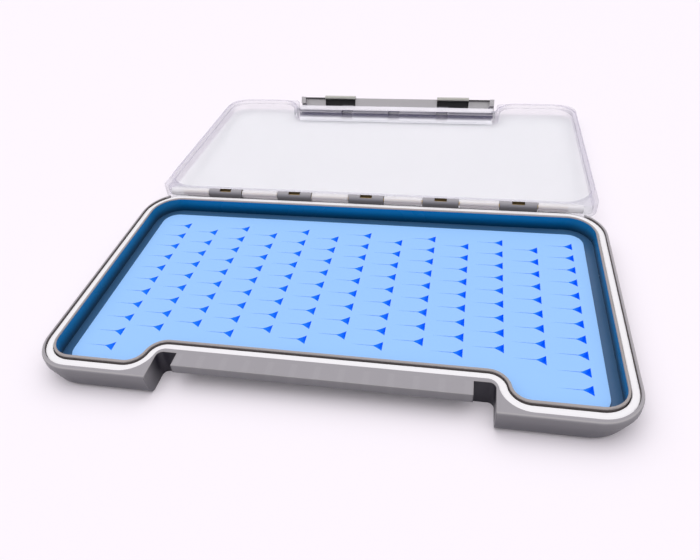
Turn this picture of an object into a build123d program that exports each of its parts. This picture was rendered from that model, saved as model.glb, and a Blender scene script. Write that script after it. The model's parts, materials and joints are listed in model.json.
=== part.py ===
from build123d import *
import os
from math import sqrt

# Slim waterproof fly box: a grey tray with a slit silicone pad and a silicone gasket round its rim,
# a clear lid hinged along the back on one long pin, and a snap latch hinged on the front of the lid.
# Millimetres, +Z up, X along the hinge and the front at -Y.  The origin is the middle of the tray's
# underside.  The box stands open, with the far edge of the lid down on the table.

# ---- tray ----------------------------------------------------------------------------------------
tray_width = 188.0
tray_depth = 104.0
tray_height = 9.3               # underside to the outer lip
front_corner = 13.5             # outer corner radii in plan
back_corner = 16.0
side_lean = 2.0                 # the sides and the front lean in towards the underside
front_lean = 0.9
lean_height = 6.5               # where they begin to lean
foot_corner = 15.0              # front corner radius at the underside
bottom_round = 3.0              # lower outer edge
outer_round = 0.8               # upper outer edge
edge_break = 0.3                # small rounds on moulded edges
floor_height = 3.5              # floor strip that runs round the pad
pocket_floor = 1.2              # floor under the pad
rim_rise = 0.2                  # inner rim over the outer lip
groove_depth = 3.0              # gasket groove

recess_half = 53.0              # latch recess in the front
recess_depth = 11.0
recess_corner = 2.0
foot_sweep = 11.5               # the rims run into the recess on two arcs, drawn at the outer line
neck_sweep = 1.8
neck_start = 2.5                # the inner arc leaves the recess wall this far in from its side

# Bands across the rim from the outside in: widths at the sides, front, recess and back.
lip_band = (1.05, 1.6, 1.35, 1.9)
gasket_band = (2.35, 2.95, 2.65, 2.65)
gap_band = (0.3, 0.35, 0.3, 0.35)
rim_band = (0.8, 1.05, 0.95, 1.05)
strip_band = (3.5, 1.2, 1.2, 4.05)

# ---- catch shelf ---------------------------------------------------------------------------------
shelf_end_gap = 6.4             # to the recess's side walls
shelf_reach = 5.3
shelf_thickness = 3.3
shelf_skin = 1.1
shelf_rib = 1.0
shelf_rib_pitch = 7.5
shelf_ribs = 11

# ---- gasket and pad ------------------------------------------------------------------------------
gasket_height = 2.35
gasket_fit = 0.1                # to the lip
gasket_round = 0.3
pad_proud = 0.7                 # pad over the floor strip
pad_fit = 0.15                  # to the wall of its pocket
adhesive = 0.15

# ---- lid hinge -----------------------------------------------------------------------------------
hinge_over_lip = 0.3            # axis above the lip; it lies in the tray's back face
knuckles = 5
knuckle_pitch = 30.8
knuckle_length = 14.7
knuckle_radius = 1.9
knuckle_web = 4.2               # buttress below the axis, down the back face
barrel_radius = 1.7
barrel_end_inset = 7.5          # outermost barrels stop this far in from the tray's sides
trough_clear = 0.3              # round the barrels
end_play = 0.3                  # between a knuckle and a barrel
window_length = 5.0             # opening in the top of each knuckle
window_front = 1.2              # in front of the axis
window_back = 0.6               # behind it
window_floor = 0.25             # above the axis
hinge_pin_radius = 0.75
hinge_pin_inset = 5.7           # each end of the pin inside the outermost barrel
pin_fit = 0.05                  # radial running fit
pin_nose = 0.25
trough_lip_drop = 1.8           # the lip stands lower between the knuckles

# ---- lid, sized as it sits when shut -------------------------------------------------------------
lid_open = 182.0                # degrees back from shut
lid_rise = 6.3                  # roof over the tray's lip
lid_over_gasket = 0.1
lid_over_lip = 0.3
lid_inside_lip = 0.3            # the lid's skirt goes down inside the lip
lid_inset = (0.7, 0.7, 1.65, 2.2)   # body inside the tray's outline: sides, front, recess, back
lid_wall = 1.5
lid_roof = 1.3
lid_flange = 1.2                # shelf between the body and its skirt
lid_front_corner = 7.5
lid_back_corner = 5.0
lid_foot_corner = 3.0
lid_round = 2.0                 # round the roof's outer edge
ledge_reach = 5.55              # ledge over the catch shelf
ledge_side_gap = 1.2            # to the recess's side walls
ledge_thickness = 1.5
lugs = 3
lug_pitch = 25.5
lug_length = 6.0
lug_radius = 1.6                # the latch's barrels have the same radius

# ---- latch, sized as it sits when snapped shut ---------------------------------------------------
latch_open = 34.0               # degrees out from snapped shut
latch_axis_reach = 3.6          # latch axis in front of the recess wall
latch_axis_drop = 2.6           # and under the lid's roof
latch_end_gap = 0.7             # to the recess's side walls
latch_gap = 0.4                 # plate to the catch shelf
latch_plate = 1.6
latch_top = 0.9                 # above the axis
latch_top_round = 1.2
latch_barrel_inset = 4.8        # barrels stop this far in from the plate's ends
latch_play = 0.3                # to the lugs, along the axis
latch_pin_radius = 0.6
latch_pin_inset = 0.5
hook_start = 22.3
hook_length = 16.8
hook_gap = 0.4                  # to the underside of the catch shelf
hook_thickness = 1.7
hook_below_plate = 1.1
hook_reach = 1.6
hook_lead = 0.8                 # sloping nose
hook_pocket = 0.8               # hollow in the plate above each hook
hook_pocket_height = 5.4
hook_pocket_side = 0.3
end_lip_reach = 0.7
end_lip_height = 0.55
cheek_thickness = 2.3
cheek_reach = 2.2
cheek_height = 3.4
grip_half = 26.0
grip_reach = 0.8
grip_height = 1.4

# ---- derived places ------------------------------------------------------------------------------
front_y = -tray_depth / 2
back_y = tray_depth / 2
recess_y = front_y + recess_depth
groove_z = tray_height - groove_depth
rim_z = tray_height + rim_rise
neck_x = recess_half - neck_start
shelf_half = recess_half - shelf_end_gap
shelf_y = recess_y - shelf_reach
shelf_z = tray_height - shelf_thickness
hinge_y = back_y
hinge_z = tray_height + hinge_over_lip
trough_radius = barrel_radius + trough_clear
barrel_end = tray_width / 2 - barrel_end_inset
trough_half = barrel_end + end_play
hinge_pin_half = barrel_end - hinge_pin_inset
gasket_top = groove_z + gasket_height
lid_rim_z = gasket_top + lid_over_gasket
lid_body_z = tray_height + lid_over_lip
lid_flange_z = lid_body_z + lid_flange
lid_top = tray_height + lid_rise
lid_roof_z = lid_top - lid_roof
ledge_y = lid_inset[2] + recess_y - ledge_reach
ledge_half = recess_half - ledge_side_gap
latch_y = recess_y - latch_axis_reach
latch_z = lid_top - latch_axis_drop
latch_half = recess_half - latch_end_gap
latch_barrel_end = latch_half - latch_barrel_inset
latch_pin_half = latch_barrel_end - latch_pin_inset
plate_y = shelf_y - latch_gap
face_y = plate_y - latch_plate
latch_head = latch_z + latch_top
hook_end = hook_start + hook_length
hook_top = shelf_z - hook_gap
hook_foot = hook_top - hook_thickness
hook_pocket_top = hook_top + hook_pocket_height
latch_foot = hook_foot + hook_below_plate
cheek_start = latch_half - cheek_thickness


def across(*bands):
    """Total inset of several bands: at the sides, front, recess and back."""
    return tuple(sum(widths) for widths in zip(*bands))


in_lip = lip_band
in_gasket = across(lip_band, gasket_band)
in_gap = across(in_gasket, gap_band)
in_rim = across(in_gap, rim_band)
in_strip = across(in_rim, strip_band)
in_skirt = across(in_lip, (lid_inside_lip,) * 4)
lid_inner = across(in_skirt, (lid_wall,) * 4)

# The lid and the latch are drawn where they sit when shut and swung back on their hinge lines.
lid_place = Pos(0, hinge_y, hinge_z) * Rot(-lid_open, 0, 0) * Pos(0, -hinge_y, -hinge_z)
latch_place = lid_place * Pos(0, latch_y, latch_z) * Rot(-latch_open, 0, 0) * Pos(0, -latch_y, -latch_z)
tray_side = Plane.YZ
lid_plane = Plane(lid_place)
lid_side = Plane(lid_place * Plane.YZ.location)
latch_side = Plane(latch_place * Plane.YZ.location)


# ---- shapes used by several pieces ---------------------------------------------------------------
def case_outline(inset, mode=Mode.ADD):
    """The outline of the rims: rounded corners and a recess entered on two tangent arcs."""
    side, front_inset, recess, back_inset = inset
    right = tray_width / 2 - side
    front = front_y + front_inset
    back = back_y - back_inset
    front_radius = front_corner - front_inset
    back_radius = back_corner - back_inset
    foot_radius = foot_sweep - front_inset
    neck_radius = neck_sweep + recess
    wall_y = recess_y + recess
    rise = wall_y - front
    reach = foot_radius + neck_radius
    foot_x = neck_x + sqrt(rise * (2 * reach - rise))
    share = foot_radius / reach
    foot_centre = front + foot_radius
    neck_centre = wall_y - neck_radius
    meet = (foot_x + (neck_x - foot_x) * share, foot_centre + (neck_centre - foot_centre) * share)
    with BuildLine() as path:
        Line((0, back), (right - back_radius, back))
        TangentArc((right - back_radius, back), (right, back - back_radius), tangent=(1, 0))
        Line((right, back - back_radius), (right, front + front_radius))
        TangentArc((right, front + front_radius), (right - front_radius, front), tangent=(0, -1))
        Line((right - front_radius, front), (foot_x, front))
        TangentArc((foot_x, front), meet, tangent=(-1, 0))
        TangentArc((neck_x, wall_y), meet, tangent=(1, 0))
        Line((neck_x, wall_y), (0, wall_y))
        mirror(about=Plane.YZ)
    make_face(path.edges(), mode=mode)


def sweep_outline(plane, inset, height, mode=Mode.ADD):
    """A solid with the rims' outline, standing on a plane."""
    with BuildSketch(plane) as outline:
        case_outline(inset)
    extrude(outline.sketch, amount=height, mode=mode)


def lid_outline(plane, shrink, height, mode=Mode.ADD):
    """A solid with the outline of the lid's body, whose recess has square sides, less a wall."""
    side, front_inset, recess, back_inset = across(lid_inset, (shrink,) * 4)
    right = tray_width / 2 - side
    foot_x = recess_half + side
    front = front_y + front_inset
    back = back_y - back_inset
    wall_y = recess_y + recess
    with BuildSketch(plane) as outline:
        Polygon((right, back), (right, front), (foot_x, front), (foot_x, wall_y),
                (-foot_x, wall_y), (-foot_x, front), (-right, front), (-right, back))
        fillet(outline.vertices().group_by(Axis.Y)[-1], lid_back_corner - shrink)
        fillet(outline.vertices().group_by(Axis.Y)[1], recess_corner + shrink)
        fillet(outline.vertices().group_by(Axis.Y)[0].sort_by(Axis.X)[::3], lid_front_corner - shrink)
        fillet(outline.vertices().group_by(Axis.Y)[0].sort_by(Axis.X)[1:3], lid_foot_corner - shrink)
    extrude(outline.sketch, amount=height, mode=mode)


def bar(side, points, start, end, mode=Mode.ADD):
    """A (y, z) polygon run along the hinge direction."""
    with BuildSketch(side.offset(start)) as section:
        Polygon(*points)
    extrude(section.sketch, amount=end - start, mode=mode)


def block(side, low, high, start, end, mode=Mode.ADD):
    """A bar with a rectangular section between two (y, z) corners."""
    corners = (low, (high[0], low[1]), high, (low[0], high[1]))
    bar(side, corners, start, end, mode)


def rod(side, centre, radius, start, end, mode=Mode.ADD):
    """A round bar along the hinge direction."""
    with BuildSketch(side.offset(start)) as section:
        with Locations(centre):
            Circle(radius)
    extrude(section.sketch, amount=end - start, mode=mode)


def both_sides(start, end):
    """The same span on the right and on the left."""
    return ((start, end), (-end, -start))


def row(count, pitch):
    """Centres of evenly spaced things."""
    return [(index - (count - 1) / 2) * pitch for index in range(count)]


knuckle_spans = [(x - knuckle_length / 2, x + knuckle_length / 2) for x in row(knuckles, knuckle_pitch)]
barrel_edges = [-barrel_end]
for span_start, span_end in knuckle_spans:
    barrel_edges += [span_start - end_play, span_end + end_play]
barrel_edges.append(barrel_end)
barrel_spans = list(zip(barrel_edges[::2], barrel_edges[1::2]))

lug_spans = [(x - lug_length / 2, x + lug_length / 2) for x in row(lugs, lug_pitch)]
latch_edges = [-latch_barrel_end]
for span_start, span_end in lug_spans:
    latch_edges += [span_start - latch_play, span_end + latch_play]
latch_edges.append(latch_barrel_end)
latch_spans = list(zip(latch_edges[::2], latch_edges[1::2]))


# ---- tray ----------------------------------------------------------------------------------------
def body_outline(side_inset, front_inset, corner):
    """The tray's outline, smaller at the sides and the front."""
    right = tray_width / 2 - side_inset
    front = front_y + front_inset
    with BuildLine() as path:
        Line((0, back_y), (right - back_corner, back_y))
        TangentArc((right - back_corner, back_y), (right, back_y - back_corner), tangent=(1, 0))
        Line((right, back_y - back_corner), (right, front + corner))
        TangentArc((right, front + corner), (right - corner, front), tangent=(0, -1))
        Line((right - corner, front), (0, front))
        mirror(about=Plane.YZ)
    make_face(path.edges())


def tray_body():
    """Outer block with its leaning sides, latch recess, lowered back lip and solid catch shelf."""
    with BuildSketch(Plane.XY.offset(lean_height)) as outline:
        body_outline(0, 0, front_corner)
    extrude(outline.sketch, amount=tray_height - lean_height)
    with BuildSketch() as foot:
        body_outline(side_lean, front_lean, foot_corner)
    loft([foot.sketch, outline.sketch], ruled=True)
    fillet(faces().sort_by(Axis.Z)[0].edges(), bottom_round)
    fillet(faces().sort_by(Axis.Z)[-1].edges(), outer_round)
    with BuildSketch() as recess:
        with Locations((0, front_y)):
            Rectangle(2 * recess_half, 2 * recess_depth)
        fillet(vertices().group_by(Axis.Y)[-1], recess_corner)
    extrude(recess.sketch, amount=tray_height, mode=Mode.SUBTRACT)
    block(tray_side, (shelf_y, shelf_z), (recess_y, tray_height), -shelf_half, shelf_half)
    gap_y = back_y - in_gasket[3] - gap_band[3] / 2
    block(tray_side, (gap_y, tray_height - trough_lip_drop), (back_y, tray_height),
          -trough_half, trough_half, Mode.SUBTRACT)
    inner_half = recess_half + outer_round
    inner = faces().sort_by(Axis.Z)[-1].edges().filter_by(lambda edge: abs(edge.center().X) < inner_half)
    fillet(inner, edge_break)


def shelf_hollow():
    """The catch shelf is hollow underneath, with ribs under its skin."""
    inner_half = shelf_half - shelf_skin
    inner_top = tray_height - shelf_skin
    block(tray_side, (shelf_y + shelf_skin, shelf_z), (recess_y, inner_top), -inner_half, inner_half,
          Mode.SUBTRACT)
    for x in row(shelf_ribs, shelf_rib_pitch):
        block(tray_side, (shelf_y, shelf_z), (recess_y, tray_height - edge_break),
              x - shelf_rib / 2, x + shelf_rib / 2)


def rims():
    """Lip, gasket groove, inner rim, floor strip and the pocket that holds the pad."""
    sweep_outline(Plane.XY.offset(groove_z), in_lip, groove_depth, Mode.SUBTRACT)
    sweep_outline(Plane.XY.offset(groove_z), in_gap, rim_z - groove_z)
    sweep_outline(Plane.XY.offset(floor_height), in_rim, rim_z - floor_height, Mode.SUBTRACT)
    fillet(faces().sort_by(Axis.Z)[-1].edges(), edge_break)
    sweep_outline(Plane.XY.offset(pocket_floor), in_strip, floor_height - pocket_floor, Mode.SUBTRACT)


def tray_hinge():
    """Trough for the lid's barrels, and the knuckles with their windows and the pin's bore."""
    axis = (hinge_y, hinge_z)
    lip_y = back_y - in_lip[3]
    rod(tray_side, axis, trough_radius, -trough_half, trough_half, Mode.SUBTRACT)
    outer_y = hinge_y + knuckle_radius
    web_z = hinge_z - knuckle_web
    for start, end in knuckle_spans:
        rod(tray_side, axis, knuckle_radius, start, end)
        bar(tray_side, ((lip_y, hinge_z), (outer_y, hinge_z), (back_y, web_z), (lip_y, web_z)), start, end)
    rod(tray_side, axis, hinge_pin_radius + pin_fit, -trough_half, trough_half, Mode.SUBTRACT)
    low = (hinge_y - window_front, hinge_z + window_floor)
    high = (hinge_y + window_back, hinge_z + knuckle_radius)
    for x in row(knuckles, knuckle_pitch):
        block(tray_side, low, high, x - window_length / 2, x + window_length / 2, Mode.SUBTRACT)


with BuildPart() as tray:
    tray_body()
    shelf_hollow()
    rims()
    tray_hinge()

# ---- gasket --------------------------------------------------------------------------------------
with BuildPart() as gasket:
    with BuildSketch(Plane.XY.offset(groove_z)):
        case_outline(across(in_lip, (gasket_fit,) * 4))
        case_outline(in_gasket, mode=Mode.SUBTRACT)
    extrude(amount=gasket_height)
    fillet(faces().sort_by(Axis.Z)[-1].edges(), gasket_round)

# ---- pad and its adhesive sheet ------------------------------------------------------------------
in_pad = across(in_strip, (pad_fit,) * 4)

with BuildPart() as pad_adhesive:
    sweep_outline(Plane.XY.offset(pocket_floor), in_pad, adhesive)

with BuildPart() as slit_pad:
    pad_base = pocket_floor + adhesive
    sweep_outline(Plane.XY.offset(pad_base), in_pad, floor_height + pad_proud - pad_base)


# ---- hinge pin -----------------------------------------------------------------------------------
with BuildPart() as hinge_pin:
    rod(tray_side, (hinge_y, hinge_z), hinge_pin_radius, -hinge_pin_half, hinge_pin_half)
    chamfer(edges().filter_by(GeomType.CIRCLE), pin_nose)


# ---- lid -----------------------------------------------------------------------------------------
def lid_block():
    """Body over the tray's lip, and the skirt that goes down inside the lip onto the gasket."""
    lid_outline(lid_plane.offset(lid_body_z), 0, lid_top - lid_body_z)
    fillet(faces().sort_by(Axis.Z)[0].edges(), lid_round)
    sweep_outline(lid_plane.offset(lid_rim_z), in_skirt, lid_flange_z - lid_rim_z)


def lid_hinge():
    """Barrels between the tray's knuckles, on webs that reach over the lip."""
    web_y = back_y - back_corner / 2
    for start, end in barrel_spans:
        rod(lid_side, (hinge_y, hinge_z), barrel_radius, start, end)
        block(lid_side, (web_y, hinge_z), (hinge_y, hinge_z + barrel_radius), start, end)


def lid_front():
    """Ledge over the catch shelf, and the lugs that carry the latch."""
    wall_y = recess_y + lid_inset[2] + lid_wall
    top = lid_body_z + ledge_thickness
    block(lid_side, (ledge_y, lid_body_z), (wall_y, top), -ledge_half, ledge_half)
    for start, end in lug_spans:
        rod(lid_side, (latch_y, latch_z), lug_radius, start, end)
        bar(lid_side, ((latch_y - lug_radius, lid_body_z), (wall_y, lid_body_z),
                       (wall_y, latch_z + lug_radius), (latch_y, latch_z + lug_radius),
                       (latch_y - lug_radius, latch_z)), start, end)


with BuildPart() as lid:
    lid_block()
    lid_hinge()
    lid_front()
    sweep_outline(lid_plane.offset(lid_rim_z), lid_inner, lid_flange_z - lid_rim_z, Mode.SUBTRACT)
    lid_outline(lid_plane.offset(lid_flange_z), lid_wall, lid_roof_z - lid_flange_z, Mode.SUBTRACT)
    rod(lid_side, (hinge_y, hinge_z), hinge_pin_radius + pin_fit, -barrel_end, barrel_end, Mode.SUBTRACT)
    rod(lid_side, (latch_y, latch_z), latch_pin_radius + pin_fit, -latch_half, latch_half, Mode.SUBTRACT)

# ---- latch pin -----------------------------------------------------------------------------------
with BuildPart() as latch_pin:
    rod(lid_side, (latch_y, latch_z), latch_pin_radius, -latch_pin_half, latch_pin_half)
    chamfer(edges().filter_by(GeomType.CIRCLE), pin_nose)


# ---- latch ---------------------------------------------------------------------------------------
def latch_panel():
    """The plate, its top rolled over the hinge side, and a grip rib along the lower edge."""
    with BuildSketch(latch_side.offset(-latch_half)) as panel:
        Polygon((face_y, latch_foot), (plate_y, latch_foot), (plate_y, latch_head), (face_y, latch_head))
        fillet(vertices().group_by(Axis.Y)[-1].sort_by(Axis.X)[0], latch_top_round)
    extrude(panel.sketch, amount=2 * latch_half)
    block(latch_side, (face_y - grip_reach, latch_foot), (face_y, latch_foot + grip_height),
          -grip_half, grip_half)


def latch_hooks():
    """Two hooks that snap under the catch shelf, each under a hollow in the plate."""
    nose_y = plate_y + hook_reach
    nose = ((face_y, hook_foot), (nose_y - hook_lead, hook_foot), (nose_y, hook_foot + hook_lead),
            (nose_y, hook_top), (face_y, hook_top))
    for start, end in both_sides(hook_start, hook_end):
        bar(latch_side, nose, start, end)
        block(latch_side, (plate_y - hook_pocket, hook_top), (plate_y, hook_pocket_top),
              start + hook_pocket_side, end - hook_pocket_side, Mode.SUBTRACT)


def latch_ends():
    """Thin lips beyond the hooks and a cheek at each end of the plate."""
    for start, end in both_sides(hook_end, cheek_start):
        block(latch_side, (plate_y, latch_foot), (plate_y + end_lip_reach, latch_foot + end_lip_height),
              start, end)
    for start, end in both_sides(cheek_start, latch_half):
        block(latch_side, (plate_y, latch_foot), (plate_y + cheek_reach, latch_foot + cheek_height),
              start, end)


with BuildPart() as latch:
    latch_panel()
    latch_hooks()
    latch_ends()
    for barrel_start, barrel_stop in latch_spans:
        rod(latch_side, (latch_y, latch_z), lug_radius, barrel_start, barrel_stop)
        block(latch_side, (plate_y, latch_z - lug_radius), (latch_y, latch_head), barrel_start, barrel_stop)
    rod(latch_side, (latch_y, latch_z), latch_pin_radius + pin_fit, -latch_half, latch_half, Mode.SUBTRACT)

# ---- files ---------------------------------------------------------------------------------------
tray.part.label = "tray"
gasket.part.label = "gasket"
slit_pad.part.label = "slit_pad"
pad_adhesive.part.label = "pad_adhesive"
hinge_pin.part.label = "hinge_pin"
lid.part.label = "lid"
latch_pin.part.label = "latch_pin"
latch.part.label = "latch"

os.makedirs("parts", exist_ok=True)
export_step(tray.part, "parts/tray.step")
export_step(gasket.part, "parts/gasket.step")
export_step(slit_pad.part, "parts/slit_pad.step")
export_step(pad_adhesive.part, "parts/pad_adhesive.step")
export_step(hinge_pin.part, "parts/hinge_pin.step")
export_step(lid.part, "parts/lid.step")
export_step(latch_pin.part, "parts/latch_pin.step")
export_step(latch.part, "parts/latch.step")
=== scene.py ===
import bmesh
import bpy
import json
import math
from mathutils import Matrix, Vector


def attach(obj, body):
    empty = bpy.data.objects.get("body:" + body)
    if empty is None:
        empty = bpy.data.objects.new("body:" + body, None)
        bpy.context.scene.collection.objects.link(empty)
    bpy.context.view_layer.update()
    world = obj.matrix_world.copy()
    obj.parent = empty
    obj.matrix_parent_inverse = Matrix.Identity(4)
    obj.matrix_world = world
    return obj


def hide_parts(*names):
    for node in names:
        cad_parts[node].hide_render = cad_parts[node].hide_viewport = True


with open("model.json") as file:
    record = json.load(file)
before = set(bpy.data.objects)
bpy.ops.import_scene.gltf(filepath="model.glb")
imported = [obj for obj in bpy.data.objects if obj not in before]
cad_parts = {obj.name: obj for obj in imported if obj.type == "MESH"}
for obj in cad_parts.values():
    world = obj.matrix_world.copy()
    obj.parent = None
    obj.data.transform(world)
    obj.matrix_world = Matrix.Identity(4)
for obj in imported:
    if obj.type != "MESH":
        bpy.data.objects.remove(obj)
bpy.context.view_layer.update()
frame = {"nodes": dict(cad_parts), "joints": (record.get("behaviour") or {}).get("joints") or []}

MM = 0.001

# ---- joints, as the frame states them ------------------------------------------------------------
JOINTS = {joint["name"]: joint for joint in frame["joints"]}
LID_HINGE = JOINTS["lid_hinge"]
LATCH_HINGE = JOINTS["latch_hinge"]
HINGE_Y, HINGE_Z = LID_HINGE["pos_m"][1:]

# ---- sizes, as in part.py ------------------------------------------------------------------------
TRAY_HEIGHT = 9.3 * MM
FLOOR_Z = 3.5 * MM
GROOVE_Z = TRAY_HEIGHT - 3.0 * MM
PAD_TOP_Z = FLOOR_Z + 0.7 * MM
RECESS_HALF = 53.0 * MM
RECESS_Y = -41.0 * MM
SHELF_HALF = RECESS_HALF - 6.4 * MM
SHELF_Y = RECESS_Y - 5.3 * MM
SHELF_Z = TRAY_HEIGHT - 3.3 * MM
SHELF_RIB_PITCH = 7.5 * MM      # the ribs under the catch shelf
KNUCKLE_RADIUS = 1.9 * MM
PIN_HALF = 80.8 * MM            # half the hinge pin's length

# The lid and the latch, as they sit when shut.
LID_BACK_Y = HINGE_Y - 2.2 * MM
LID_RIM_Z = GROOVE_Z + 2.45 * MM
LID_BODY_Z = TRAY_HEIGHT + 0.3 * MM
LID_ROOF_Z = TRAY_HEIGHT + 5.0 * MM     # underside of the roof
LID_RECESS_Y = RECESS_Y + 1.65 * MM
LEDGE_Y = LID_RECESS_Y - 5.55 * MM
LEDGE_Z = LID_BODY_Z + 1.5 * MM
LUGS = 3
LUG_PITCH = 25.5 * MM
LUG_HALF = 3.0 * MM
LATCH_PLATE_Y = SHELF_Y - 0.4 * MM
LATCH_PLATE = 1.6 * MM
HOOK_START = 22.3 * MM
HOOK_END = HOOK_START + 16.8 * MM
HOOK_TOP_Z = SHELF_Z - 0.4 * MM
HOOK_POCKET = 0.8 * MM

SLACK = 0.05 * MM               # for telling which surface of a piece a face belongs to

# ---- slits in the pad ----------------------------------------------------------------------------
SLIT_COLUMNS = 13
SLIT_PITCH_X = 12.83 * MM
SLIT_PITCH_Y = 7.02 * MM
SLIT_SHIFT_X = 0.265            # of a pitch, to the mouths' middles
SLIT_BACK_Y = 33.96 * MM
SLIT_ROWS = 9
SLIT_ROWS_END = 11              # in the first and the last column
SLIT_LENGTH = 7.2 * MM          # the narrow tail, left of the mouth
SLIT_HALF = 0.09 * MM
MOUTH_LENGTH = 3.2 * MM
MOUTH_HALF = 2.0 * MM
MOUTH_DEPTH = 2.3 * MM
MOUTH_SHARE = 0.66              # of a mouth's length, from its start to its middle by area
MOUTH_STEPS = 6                 # points along each flared side
MOUTH_FLARE = 1.25              # power by which the sides flare
ROUNDING = 0.0001               # keeps a whole quotient from falling short of itself

# ---- view, light and floor -----------------------------------------------------------------------
LENS = 31.666                   # mm, on a sensor 36 mm wide
CAMERA_PLACE = (0.040303, -0.162807, 0.149698)
CAMERA_RIGHT = (0.98248, 0.175923, -0.061513)
CAMERA_UP = (-0.067164, 0.642112, 0.763663)
CAMERA_FORWARD = (-0.173844, 0.746152, -0.642678)

KEY_SIZE = 1.6
KEY_POWER = 5.9
KEY_PLACE = (-0.7, 0.6, 2.9)
KEY_TARGET = (0.0, 0.05, 0.0)
SKY_COLOUR = (1.0, 0.985, 1.0)
SKY_LOW = 0.06                  # strength of the soft light near the horizon
SKY_HIGH = 1.72                 # and overhead
SKY_MIDDLE = 0.62               # height, from 0 to 1, of the step between them
SKY_SPREAD = 0.7                # and the step's width
BACKDROP = (0.98, 0.94, 0.985)
FLOOR_HALF = 3.0
FLOOR_COLOUR = (0.91, 0.865, 0.92)
FLOOR_BOUNCE = (0.4, 0.4, 0.42)
FLOOR_SEEN = 0.05               # share of the backdrop's colour that takes no shadow


# ---- shader sums ---------------------------------------------------------------------------------
class Wire:
    """A node's output that takes part in sums."""

    def __init__(self, tree, value):
        self.tree = tree
        self.value = value

    def join(self, operation, *others):
        return node(self.tree, "ShaderNodeMath", [self, *others], operation=operation)

    def __add__(self, other):
        return self.join("ADD", other)

    __radd__ = __add__

    def __sub__(self, other):
        return self.join("SUBTRACT", other)

    def __rsub__(self, other):
        return node(self.tree, "ShaderNodeMath", [other, self], operation="SUBTRACT")

    def __mul__(self, other):
        return self.join("MULTIPLY", other)

    __rmul__ = __mul__

    def __truediv__(self, other):
        return self.join("DIVIDE", other)

    def over(self, edge, width):
        """0 below the edge and 1 above it, with a soft step of that width."""
        values = {"Value": self, "From Min": edge - width / 2, "From Max": edge + width / 2}
        return node(self.tree, "ShaderNodeMapRange", values, interpolation_type="SMOOTHSTEP")

    def under(self, edge, width):
        """1 below the edge and 0 above it."""
        return 1.0 - self.over(edge, width)

    def within(self, low, high, width):
        """1 between the two edges and 0 outside them."""
        return self.over(low, width) * self.under(high, width)

    def size(self):
        """The value without its sign."""
        return self.join("ABSOLUTE")

    def clear(self):
        """Kept from 0 to 1."""
        return node(self.tree, "ShaderNodeClamp", [self])


def feed(tree, socket, value):
    """Links a wire to an input, or sets the input's own value; a colour gets its alpha."""
    if isinstance(value, Wire):
        tree.links.new(value.value, socket)
    elif isinstance(value, tuple) and socket.type == "RGBA":
        socket.default_value = (*value, 1.0)
    else:
        socket.default_value = value


def node(tree, kind, values=(), output=0, **settings):
    """Adds a node: its settings first, then the values or links of its inputs."""
    made = tree.nodes.new(kind)
    for name, setting in settings.items():
        setattr(made, name, setting)
    pairs = values.items() if isinstance(values, dict) else enumerate(values)
    for key, value in pairs:
        feed(tree, made.inputs[key], value)
    return Wire(tree, made.outputs[output])


def blend_colours(tree, share, first, second):
    """A mix of two colours; 6, 7 and 2 are the Mix node's colour sockets."""
    return node(tree, "ShaderNodeMix", {0: share, 6: first, 7: second}, output=2, data_type="RGBA")


def plug(tree, shader, **values):
    """Feeds the shader's inputs, with _ for each space in an input's name."""
    for name, value in values.items():
        feed(tree, shader.inputs[name.replace("_", " ")], value)


def start_material(name, **constants):
    """A new material with one Principled shader: (material, tree, shader)."""
    material = bpy.data.materials.new(name)
    material.use_nodes = True
    tree = material.node_tree
    shader = tree.nodes["Principled BSDF"]
    plug(tree, shader, **constants)
    return material, tree, shader


def place_of(tree):
    """Where a point is on its piece, in metres."""
    return node(tree, "ShaderNodeTexCoord", output="Object")


def axis_of(tree, place, axis):
    return node(tree, "ShaderNodeSeparateXYZ", [place], output=axis)


def grain(tree, place, scale, roughness=0.55):
    """Noise from 0 to 1 at a scale in features per metre."""
    values = {"Vector": place, "Scale": scale, "Detail": 2.0, "Roughness": roughness}
    return node(tree, "ShaderNodeTexNoise", values)


def emboss(tree, shader, height, strength):
    """A fine relief of 0.03 mm."""
    values = {"Strength": strength, "Distance": 0.03 * MM, "Height": height}
    plug(tree, shader, Normal=node(tree, "ShaderNodeBump", values))


# ---- grey plastic --------------------------------------------------------------------------------
def moulded_grey(name, light, dark, roughness, marks=None, painted_light=None):
    """Satin moulded plastic with flow marks and a fine grain, and the painted highlights and shade of its
    piece.
    """
    material, tree, shader = start_material(name, IOR=1.5)
    place = place_of(tree)
    flow = grain(tree, place, 38.0)
    fine = grain(tree, place, 2600.0, 0.6)
    shade = (flow - 0.5) * 0.5 + (fine - 0.5) * 0.35 + 0.5
    if marks:
        shade = shade + marks(tree, place)
    colour = blend_colours(tree, shade.clear(), dark, light)
    if painted_light:
        for share, painted_tone in painted_light(tree, place):
            colour = blend_colours(tree, share, colour, painted_tone)
    polish = flow * 0.12 + fine * 0.1 + (roughness - 0.11)
    plug(tree, shader, Base_Color=colour, Roughness=polish.clear())
    emboss(tree, shader, fine, 0.18)
    return material


def shelf_sink_highlights(tree, place):
    """Pale stripes over the ribs of the catch shelf: a painted highlight where light catches their sink
    marks.
    """
    x = axis_of(tree, place, "X")
    y = axis_of(tree, place, "Y")
    from_rib = (x / SHELF_RIB_PITCH).join("PINGPONG", 0.5)
    on_shelf = y.under(RECESS_Y - 0.2 * MM, 0.4 * MM) * x.size().under(SHELF_HALF - 0.8 * MM, 0.4 * MM)
    return from_rib.under(0.13, 0.12) * on_shelf * 0.28


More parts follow.
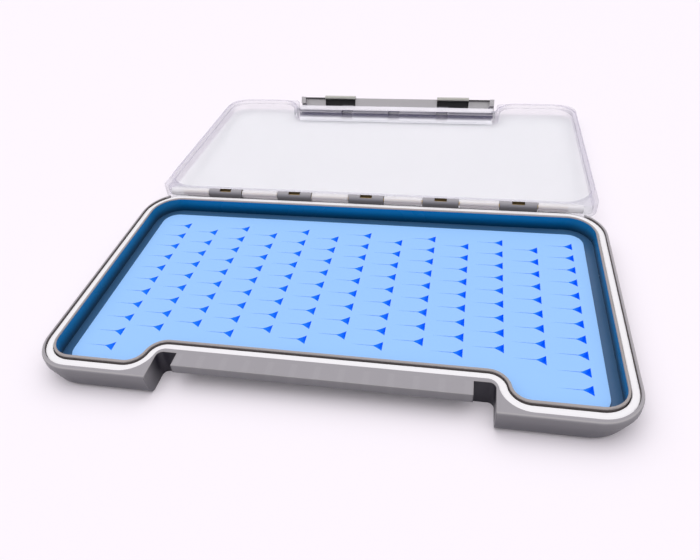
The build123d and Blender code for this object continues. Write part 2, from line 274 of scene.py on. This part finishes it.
def tray_painted_shade_and_highlight(tree, place):
    """Painted shade and a painted highlight on the tray's grey, by place: (share, colour) of each."""
    side = axis_of(tree, place, "X").size()
    y = axis_of(tree, place, "Y")
    z = axis_of(tree, place, "Z")
    low_down = z.under(6.3 * MM, 7.4 * MM)
    by_hinge = y.over(HINGE_Y - 2.1 * MM, 0.3 * MM)
    under_knuckles = by_hinge * z.under(HINGE_Z + 0.8 * MM, 2.4 * MM)
    lip_edge = z.over(TRAY_HEIGHT - 0.25 * MM, 0.1 * MM) * z.under(TRAY_HEIGHT - 0.03 * MM, 0.04 * MM)
    beside_shelf = side.within(SHELF_HALF - 0.2 * MM, RECESS_HALF + 0.3 * MM, 0.3 * MM)
    in_recess = y.over(SHELF_Y - 0.2 * MM, 8.0 * MM) * y.under(RECESS_Y + 0.6 * MM, 0.3 * MM)
    notch = beside_shelf * in_recess * z.under(TRAY_HEIGHT - 0.2 * MM, 0.2 * MM)
    # Painted shade low down, painted shade under the knuckles, a painted highlight on the lip's outer edge,
    # and painted shade in the notches beside the shelf.
    return (
        (low_down * 0.6, (0.1, 0.095, 0.12)),
        (under_knuckles * 0.8, (0.06, 0.058, 0.066)),
        (lip_edge * (1.0 - by_hinge) * 0.3, (0.6, 0.57, 0.56)),
        (notch, (0.02, 0.018, 0.03)),
    )


def inner_wall():
    """The wall inside the rim, deep blue beside the pad, with painted shade low down, and duller at the
    sides.
    """
    material, tree, shader = start_material("inner_wall", IOR=1.5, Specular_IOR_Level=0.15)
    place = place_of(tree)
    lit_by_height = axis_of(tree, place, "Z").over(6.2 * MM, 5.0 * MM)
    at_side = axis_of(tree, place, "X").size().over(84.0 * MM, 10.0 * MM)
    # Shaded and lit copies of the blue and of the slate: painted shade low down.
    blue = blend_colours(tree, lit_by_height, (0.002, 0.055, 0.14), (0.001, 0.235, 0.55))
    slate = blend_colours(tree, lit_by_height, (0.03, 0.075, 0.13), (0.02, 0.235, 0.46))
    colour = blend_colours(tree, at_side * 0.6, blue, slate)
    plug(tree, shader, Base_Color=colour, Roughness=grain(tree, place, 45.0) * 0.1 + 0.22)
    return material


def floor_strip():
    """The strip of the tray's floor that runs round the pad."""
    material, tree, shader = start_material("floor_strip", IOR=1.5)
    flow = grain(tree, place_of(tree), 60.0)
    colour = blend_colours(tree, flow, (0.03, 0.095, 0.2), (0.045, 0.13, 0.26))
    plug(tree, shader, Base_Color=colour, Roughness=flow * 0.1 + 0.28)
    return material


# ---- silicone and film ---------------------------------------------------------------------------
def silicone(name, light, dark):
    """Matt silicone: an even colour with faint clouding and a soft grain."""
    material, tree, shader = start_material(name, IOR=1.42)
    place = place_of(tree)
    flow = grain(tree, place, 24.0)
    fine = grain(tree, place, 3400.0, 0.6)
    colour = blend_colours(tree, (flow * 0.7 + fine * 0.3).clear(), dark, light)
    plug(tree, shader, Base_Color=colour, Roughness=(fine * 0.12 + 0.44).clear())
    emboss(tree, shader, fine, 0.1)
    return material


def slit_silicone():
    """Inside of the slits: a painted glow for the light the pad lets through, and painted shade that darkens
    each mouth from left to right.
    """
    # Emission here is a painted glow, not a lamp.
    material, tree, shader = start_material("slit_blue", IOR=1.42, Emission_Strength=0.45,
                                            Emission_Color=(0.0, 0.1, 0.62))
    place = place_of(tree)
    fine = grain(tree, place, 3400.0, 0.6)
    first_mouth = SLIT_PITCH_X * SLIT_SHIFT_X - MOUTH_LENGTH * MOUTH_SHARE
    along = (axis_of(tree, place, "X") - first_mouth).join("FLOORED_MODULO", SLIT_PITCH_X)
    # Painted shade: the right part of each mouth takes the darker copy of the blue.
    mouth_shade = along.over(MOUTH_LENGTH * 0.62, MOUTH_LENGTH * 0.9)
    colour = blend_colours(tree, mouth_shade, (0.07, 0.46, 0.73), (0.003, 0.17, 0.8))
    plug(tree, shader, Base_Color=colour, Roughness=(fine * 0.12 + 0.54).clear())
    emboss(tree, shader, fine, 0.1)
    return material


# ---- clear plastic -------------------------------------------------------------------------------
def clear_plastic(name, face_alpha, edge_alpha, light, dark):
    """Clear moulded plastic: denser where it is seen edge on, with faint flow clouds."""
    material, tree, shader = start_material(name, IOR=1.49)
    flow = grain(tree, place_of(tree), 30.0)
    edge_on = node(tree, "ShaderNodeLayerWeight", {"Blend": 0.5}, output="Facing")
    alpha = edge_on * (edge_alpha - face_alpha) + (flow - 0.5) * (face_alpha * 0.3) + face_alpha
    plug(tree, shader, Base_Color=blend_colours(tree, edge_on, light, dark),
         Roughness=flow * 0.06 + 0.06, Alpha=alpha.clear())
    return material


def recess_plastic():
    """The lid's recess wall, with a painted glow for the light it leads down to the roof, and painted shade
    as a dark line below the ledge.
    """
    material, tree, shader = start_material("clear_recess_painted_glow", IOR=1.49, Emission_Strength=0.5)
    place = place_of(tree)
    z = axis_of(tree, place, "Z")
    # Painted shade: a dark line below the ledge, in the base colour and in the painted glow.
    line = z.over(3.0 * MM, 1.2 * MM)
    light = (0.93, 0.91, 0.97)
    alpha = z.under(4.9 * MM, 0.4 * MM) * 0.5 + 0.06
    plug(tree, shader, Base_Color=blend_colours(tree, line, light, (0.2, 0.19, 0.27)),
         Emission_Color=blend_colours(tree, line, light, (0.06, 0.055, 0.08)),
         Roughness=grain(tree, place, 30.0) * 0.06 + 0.06, Alpha=alpha.clear())
    return material


def barrel_plastic():
    """The lid's hinge barrels, with a painted band on the near side for the pin seen refracted through the
    plastic.
    """
    material, tree, shader = start_material("hinge_plastic", IOR=1.49)
    place = place_of(tree)
    flow = grain(tree, place, 160.0)
    height = axis_of(tree, place, "Z") + (flow - 0.5) * (0.5 * MM)
    band = height.within(HINGE_Z - 0.6 * MM, HINGE_Z + 0.5 * MM, 0.6 * MM)
    near = axis_of(tree, place, "Y").under(HINGE_Y - 0.5 * MM, 0.6 * MM)
    on_pin = axis_of(tree, place, "X").size().under(PIN_HALF, 1.2 * MM)
    # Painted band: the pin's refracted image, painted onto the barrel.
    painted_pin_band = band * near * on_pin
    plug(tree, shader, Base_Color=blend_colours(tree, painted_pin_band, (0.97, 0.95, 0.985), (0.58, 0.53, 0.58)),
         Roughness=flow * 0.1 + 0.2, Alpha=(painted_pin_band * 0.15 + 0.58).clear())
    return material


# ---- metal ---------------------------------------------------------------------------------------
def drawn_metal(name, light, dark, roughness):
    """Drawn pin stock, with fine lines along it."""
    material, tree, shader = start_material(name, Metallic=1.0)
    values = {"Vector": place_of(tree), "Scale": (60.0, 4000.0, 4000.0)}
    stretched = node(tree, "ShaderNodeMapping", values)
    lines = node(tree, "ShaderNodeTexNoise", {"Vector": stretched, "Scale": 1.0, "Detail": 3.0})
    polish = lines * 0.25 + (roughness - 0.12)
    plug(tree, shader, Base_Color=blend_colours(tree, lines, dark, light), Roughness=polish.clear())
    return material


# ---- the materials -------------------------------------------------------------------------------
# The tray's grey, with painted highlight stripes on the catch shelf and painted shade and highlight by
# place.
TRAY_GREY = moulded_grey("tray_grey", (0.345, 0.33, 0.355), (0.295, 0.282, 0.305), 0.45,
                         shelf_sink_highlights, tray_painted_shade_and_highlight)
RIM_GREY = moulded_grey("rim_grey", (0.37, 0.335, 0.33), (0.33, 0.3, 0.295), 0.45)
# Painted shade on the walls of the gasket's groove.
GROOVE_SHADE = moulded_grey("groove_wall", (0.14, 0.12, 0.12), (0.11, 0.095, 0.095), 0.7)
WINDOW_DARK = moulded_grey("window_shade", (0.1, 0.075, 0.04), (0.08, 0.06, 0.03), 0.6)
INNER_WALL = inner_wall()
FLOOR_STRIP = floor_strip()

LATCH_GREY = moulded_grey("latch_grey", (0.56, 0.545, 0.56), (0.5, 0.485, 0.5), 0.45)
HOOK_PALE = moulded_grey("latch_hook", (0.52, 0.52, 0.48), (0.47, 0.47, 0.43), 0.45)
# Painted shade: the pockets over the hooks, nearly black.
POCKET_SHADE = moulded_grey("hook_pocket", (0.008, 0.008, 0.01), (0.004, 0.004, 0.005), 0.7)
BARREL_DARK = moulded_grey("latch_barrel", (0.15, 0.135, 0.23), (0.12, 0.11, 0.19), 0.5)
LIP_DARK = moulded_grey("latch_shade", (0.055, 0.05, 0.055), (0.04, 0.036, 0.04), 0.6)

GASKET_WHITE = silicone("gasket_white", (0.86, 0.85, 0.87), (0.82, 0.81, 0.835))
PAD_BLUE = silicone("pad_blue", (0.305, 0.56, 0.95), (0.29, 0.54, 0.935))
SLIT_BLUE = slit_silicone()
ADHESIVE = silicone("adhesive_film", (0.55, 0.56, 0.58), (0.5, 0.51, 0.53))

CLEAR_PLATE = clear_plastic("clear_plate", 0.05, 0.12, (0.62, 0.78, 0.76), (0.5, 0.68, 0.66))
CLEAR_WALL = clear_plastic("clear_wall", 0.04, 0.34, (0.6, 0.57, 0.7), (0.4, 0.36, 0.58))
CLEAR_EDGE = clear_plastic("clear_edge", 0.18, 0.35, (0.5, 0.47, 0.62), (0.36, 0.33, 0.48))
CLEAR_FLANGE = clear_plastic("clear_flange", 0.08, 0.25, (0.6, 0.57, 0.7), (0.4, 0.37, 0.52))
CLEAR_LEDGE = clear_plastic("clear_ledge", 0.9, 0.93, (0.88, 0.86, 0.91), (0.82, 0.8, 0.87))
CLEAR_LUG = clear_plastic("clear_lug", 0.12, 0.2, (0.93, 0.91, 0.97), (0.8, 0.78, 0.86))
CLEAR_RECESS_GLOW = recess_plastic()
CLEAR_HINGE = barrel_plastic()

BRASS = drawn_metal("pin_brass", (1.0, 0.72, 0.2), (0.75, 0.5, 0.1), 0.5)
STEEL = drawn_metal("pin_steel", (0.55, 0.55, 0.56), (0.4, 0.4, 0.42), 0.3)


# ---- which face takes which material -------------------------------------------------------------
def turned(joint, degrees):
    """The turn by so many degrees from rest, about a joint's line."""
    line = Vector(joint["pos_m"])
    turn = Matrix.Rotation(math.radians(degrees), 4, Vector(joint["axis"]))
    return Matrix.Translation(line) @ turn @ Matrix.Translation(-line)


LID_SHUT = turned(LID_HINGE, LID_HINGE["range_deg"][1])
LATCH_SHUT = LID_SHUT @ turned(LATCH_HINGE, LATCH_HINGE["range_deg"][0])


def dress(name, finishes, finish_of=None):
    """Gives a CAD node its materials: the first one everywhere, or as finish_of says for each face."""
    mesh = frame["nodes"][name].data
    mesh.materials.clear()
    for material in finishes.values():
        mesh.materials.append(material)
    numbers = {finish: number for number, finish in enumerate(finishes)}
    for face in mesh.polygons:
        face.material_index = numbers[finish_of(face)] if finish_of else 0


def tray_finish(face):
    """The wall inside the rim, the floor strip and the rim stand out; the groove and the windows take
    painted shade.
    """
    corners = face.id_data.vertices
    heights = [corners[index].co.z for index in face.vertices]
    low = min(heights)
    high = max(heights)
    from_floor = abs(low - FLOOR_Z) < SLACK
    from_hinge = math.hypot(face.center.y - HINGE_Y, face.center.z - HINGE_Z)
    if from_floor and high > FLOOR_Z + 1.5 * MM and abs(face.normal.z) < 0.3:
        return "wall"
    if from_floor and high - low < SLACK:
        return "floor"
    if abs(low - GROOVE_Z) < SLACK:
        return "groove"
    if high > TRAY_HEIGHT + SLACK and abs(face.center.y) < HINGE_Y - 3.0 * MM:
        return "rim"
    if low > HINGE_Z + 0.2 * MM and from_hinge < KNUCKLE_RADIUS - 0.15 * MM:
        return "window"
    return "body"


def lid_finish(face):
    """Plate, walls, rim, flange, ledge, lugs and hinge barrels differ in how dense they look."""
    spot = LID_SHUT @ face.center
    level = abs((LID_SHUT.to_3x3() @ face.normal).z) > 0.9
    over_ledge = spot.z > LEDGE_Z + 0.1 * MM
    if spot.y > LID_BACK_Y + SLACK:
        return "hinge"
    if spot.y < LID_RECESS_Y - SLACK and abs(spot.x) < RECESS_HALF:
        nearest = round(spot.x / LUG_PITCH) * LUG_PITCH
        at_lug = abs(spot.x - nearest) < LUG_HALF + 0.01 * MM and abs(nearest) < LUGS / 2 * LUG_PITCH
        return "lug" if at_lug and (over_ledge or spot.y < LEDGE_Y - 0.1 * MM) else "ledge"
    if level and spot.z > LID_ROOF_Z - 0.3 * MM:
        return "plate"
    if spot.y < LID_RECESS_Y + 2.0 * MM and abs(spot.x) < RECESS_HALF - 2.0 * MM:
        return "recess"
    if level and spot.z < LID_RIM_Z + 0.25 * MM:
        return "edge"
    if level and not over_ledge:
        return "flange"
    return "wall"


def latch_finish(face):
    """The hooks look pale, the pockets over them are painted nearly black for their shade, and the barrels
    dull purple.
    """
    spot = LATCH_SHUT @ face.center
    side = abs(spot.x)
    at_hook = HOOK_START - SLACK < side < HOOK_END + SLACK
    below_pocket = spot.z < HOOK_TOP_Z + SLACK
    behind_plate = spot.y > LATCH_PLATE_Y - SLACK
    if behind_plate and spot.z > LEDGE_Z + 0.1 * MM:
        return "barrel"
    if at_hook and below_pocket and spot.y > LATCH_PLATE_Y - LATCH_PLATE - 0.1 * MM:
        return "hook"
    in_pocket = LATCH_PLATE_Y - HOOK_POCKET - 0.2 * MM < spot.y < LATCH_PLATE_Y + SLACK
    if at_hook and in_pocket and spot.z > HOOK_TOP_Z:
        return "pocket"
    if behind_plate and below_pocket and side > HOOK_END:
        return "lip"
    return "plate"


dress("tray", {"body": TRAY_GREY, "wall": INNER_WALL, "floor": FLOOR_STRIP, "rim": RIM_GREY,
               "groove": GROOVE_SHADE, "window": WINDOW_DARK}, tray_finish)
dress("gasket", {"all": GASKET_WHITE})
dress("slit_pad", {"all": PAD_BLUE})
dress("pad_adhesive", {"all": ADHESIVE})
dress("hinge_pin", {"all": BRASS})
dress("lid", {"plate": CLEAR_PLATE, "wall": CLEAR_WALL, "edge": CLEAR_EDGE, "flange": CLEAR_FLANGE,
              "recess": CLEAR_RECESS_GLOW, "ledge": CLEAR_LEDGE, "lug": CLEAR_LUG, "hinge": CLEAR_HINGE},
      lid_finish)
dress("latch_pin", {"all": STEEL})
dress("latch", {"plate": LATCH_GREY, "hook": HOOK_PALE, "pocket": POCKET_SHADE, "barrel": BARREL_DARK,
                "lip": LIP_DARK}, latch_finish)


# ---- pad with its slits --------------------------------------------------------------------------
def merged_copy(name):
    """A clean copy of a CAD node's mesh, its loose triangles joined."""
    source = frame["nodes"][name]
    mesh = source.data.copy()
    mesh.transform(source.matrix_world)
    work = bmesh.new()
    work.from_mesh(mesh)
    bmesh.ops.remove_doubles(work, verts=work.verts, dist=0.001 * MM)
    bmesh.ops.dissolve_limit(work, angle_limit=math.radians(0.1), verts=work.verts, edges=work.edges)
    work.to_mesh(mesh)
    work.free()
    return mesh


def slit_blade():
    """The blade that cuts one slit: a narrow tail that opens into a flared mouth on its right."""
    side = [(-SLIT_LENGTH, 0.0)]
    for step in range(MOUTH_STEPS + 1):
        share = step / MOUTH_STEPS
        flare = SLIT_HALF + (MOUTH_HALF - SLIT_HALF) * share ** MOUTH_FLARE
        side.append((MOUTH_LENGTH * share, flare))
    outline = side + [(x, -y) for x, y in reversed(side[1:])]
    work = bmesh.new()
    low = [work.verts.new((x, y, -MOUTH_DEPTH)) for x, y in outline]
    high = [work.verts.new((x, y, MOUTH_DEPTH)) for x, y in outline]
    work.faces.new(low)
    work.faces.new(high)
    for index in range(len(outline)):
        after = (index + 1) % len(outline)
        work.faces.new((low[index], low[after], high[after], high[index]))
    bmesh.ops.recalc_face_normals(work, faces=work.faces)
    mesh = bpy.data.meshes.new("slit_blade")
    work.to_mesh(mesh)
    work.free()
    return mesh


def slit_tree():
    """Geometry Nodes: slits in staggered columns, cut out of the pad."""
    tree = bpy.data.node_groups.new("slits", "GeometryNodeTree")
    sizes = (("Columns", SLIT_COLUMNS), ("Rows", SLIT_ROWS_END), ("Inner Rows", SLIT_ROWS),
             ("Pitch X", SLIT_PITCH_X), ("Pitch Y", SLIT_PITCH_Y), ("First Y", SLIT_BACK_Y),
             ("Shift X", SLIT_SHIFT_X), ("Mouth", MOUTH_LENGTH), ("Top", PAD_TOP_Z))
    tree.interface.new_socket("Geometry", in_out="INPUT", socket_type="NodeSocketGeometry")
    tree.interface.new_socket("Blade", in_out="INPUT", socket_type="NodeSocketObject")
    for name, size in sizes:
        socket = tree.interface.new_socket(name, in_out="INPUT", socket_type="NodeSocketFloat")
        socket.default_value = size
    tree.interface.new_socket("Geometry", in_out="OUTPUT", socket_type="NodeSocketGeometry")
    entry = tree.nodes.new("NodeGroupInput")
    given = {out.name: Wire(tree, out) for out in entry.outputs if out.name}

    index = node(tree, "GeometryNodeInputIndex")
    column = (index / given["Rows"] + ROUNDING).join("FLOOR")
    row = index - column * given["Rows"]
    stagger = column.join("MODULO", 2.0) * 0.5
    x = (column - (given["Columns"] - 1.0) / 2.0 + given["Shift X"]) * given["Pitch X"]
    x = x - given["Mouth"] * MOUTH_SHARE
    y = given["First Y"] - (row + stagger) * given["Pitch Y"]
    spot = node(tree, "ShaderNodeCombineXYZ", [x, y, given["Top"]])
    points = node(tree, "GeometryNodePoints", {"Count": given["Columns"] * given["Rows"], "Position": spot})

    end_column = column.join("LESS_THAN", 0.5) + column.join("GREATER_THAN", given["Columns"] - 1.5)
    spare = row.join("GREATER_THAN", given["Inner Rows"] - 0.5) * (1.0 - end_column)
    kept = node(tree, "GeometryNodeDeleteGeometry", {"Geometry": points, "Selection": spare})
    blade = node(tree, "GeometryNodeObjectInfo", {"Object": given["Blade"]}, output="Geometry")
    placed = node(tree, "GeometryNodeInstanceOnPoints", {"Points": kept, "Instance": blade})
    blades = node(tree, "GeometryNodeRealizeInstances", [placed])
    blades = node(tree, "GeometryNodeSetMaterial", {"Geometry": blades, "Material": SLIT_BLUE})
    slab = node(tree, "GeometryNodeSetMaterial", {"Geometry": given["Geometry"], "Material": PAD_BLUE})
    cut = node(tree, "GeometryNodeMeshBoolean", {"Mesh 1": slab, "Mesh 2": blades}, operation="DIFFERENCE",
               solver="EXACT")
    whole = node(tree, "GeometryNodeRealizeInstances", [cut])
    inside_cut = node(tree, "GeometryNodeInputMaterialIndex").join("GREATER_THAN", 0.5)
    whole = node(tree, "GeometryNodeSetMaterial", {"Geometry": whole, "Selection": inside_cut,
                                                   "Material": SLIT_BLUE})
    leave = tree.nodes.new("NodeGroupOutput")
    tree.links.new(whole.value, leave.inputs["Geometry"])
    return tree


def link_new(name, data):
    """A new object in the scene."""
    holder = bpy.data.objects.new(name, data)
    bpy.context.scene.collection.objects.link(holder)
    return holder


def cut_pad():
    """The pad with its slits, in place of the plain one."""
    slab = link_new("slab", merged_copy("slit_pad"))
    blade = link_new("blade", slit_blade())
    modifier = slab.modifiers.new("slits", "NODES")
    modifier.node_group = slit_tree()
    inputs = {item.name: item.identifier for item in modifier.node_group.interface.items_tree
              if item.in_out == "INPUT"}
    modifier[inputs["Blade"]] = blade
    graph = bpy.context.evaluated_depsgraph_get()
    mesh = bpy.data.meshes.new_from_object(slab.evaluated_get(graph), depsgraph=graph)
    mesh.name = "pad_with_slits"
    slab.modifiers.clear()
    bpy.data.objects.remove(slab)
    bpy.data.objects.remove(blade)
    piece = link_new("pad_with_slits", mesh)
    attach(piece, "base")
    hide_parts("slit_pad")


cut_pad()


# ---- camera, light and floor ---------------------------------------------------------------------
def set_camera():
    camera = bpy.data.cameras.new("camera")
    camera.sensor_width = 36.0
    camera.lens = LENS
    camera.clip_start = 0.01
    camera.clip_end = 20.0
    holder = link_new("camera", camera)
    axes = Matrix((Vector(CAMERA_RIGHT), Vector(CAMERA_UP), -Vector(CAMERA_FORWARD))).transposed()
    holder.matrix_world = Matrix.Translation(CAMERA_PLACE) @ axes.to_4x4()
    bpy.context.scene.camera = holder


def add_key_lamp():
    """A large soft lamp, high at the back on the left."""
    lamp = bpy.data.lights.new("key", "AREA")
    lamp.shape = "SQUARE"
    lamp.size = KEY_SIZE
    lamp.energy = KEY_POWER
    holder = link_new("key", lamp)
    holder.location = KEY_PLACE
    holder.rotation_euler = (Vector(KEY_TARGET) - Vector(KEY_PLACE)).to_track_quat("-Z", "Y").to_euler()


def seen_directly(tree):
    """1 for what the camera sees, straight or through metal and clear plastic."""
    rays = tree.nodes.new("ShaderNodeLightPath")
    straight, in_gloss, through = (Wire(tree, rays.outputs[name]) for name in
                                   ("Is Camera Ray", "Is Glossy Ray", "Is Transmission Ray"))
    return (straight + in_gloss + through).clear()


def set_world():
    """Soft light, strongest overhead; the camera sees a plain pale backdrop."""
    world = bpy.data.worlds.new("studio")
    bpy.context.scene.world = world
    world.use_nodes = True
    tree = world.node_tree
    tree.nodes.clear()
    height = axis_of(tree, node(tree, "ShaderNodeTexCoord", output="Generated"), "Z")
    seen = seen_directly(tree)
    light = height.over(SKY_MIDDLE, SKY_SPREAD) * (SKY_HIGH - SKY_LOW) + SKY_LOW
    values = {"Color": blend_colours(tree, seen, SKY_COLOUR, BACKDROP),
              "Strength": light + (1.0 - light) * seen}
    background = node(tree, "ShaderNodeBackground", values)
    out = tree.nodes.new("ShaderNodeOutputWorld")
    tree.links.new(background.value, out.inputs["Surface"])


def shaded(colour, share):
    return tuple(level * share for level in colour)


def add_floor():
    """A pale table: part of its colour is seen directly, the rest takes light and keeps the shadows."""
    mesh = bpy.data.meshes.new("floor")
    corners = [(x * FLOOR_HALF, y * FLOOR_HALF, 0) for x, y in ((-1, -1), (1, -1), (1, 1), (-1, 1))]
    mesh.from_pydata(corners, [], [(0, 1, 2, 3)])
    material, tree, shader = start_material("floor_white", Roughness=0.95, IOR=1.2, Emission_Strength=1.0)
    seen = seen_directly(tree)
    lit = shaded(FLOOR_COLOUR, 1.0 - FLOOR_SEEN)
    shown = shaded(BACKDROP, FLOOR_SEEN)
    plug(tree, shader, Base_Color=blend_colours(tree, seen, FLOOR_BOUNCE, lit),
         Emission_Color=blend_colours(tree, seen, (0.0, 0.0, 0.0), shown))
    mesh.materials.append(material)
    link_new("floor", mesh)


set_camera()
set_world()
add_key_lamp()
add_floor()

bpy.context.scene.view_settings.view_transform = "Standard"
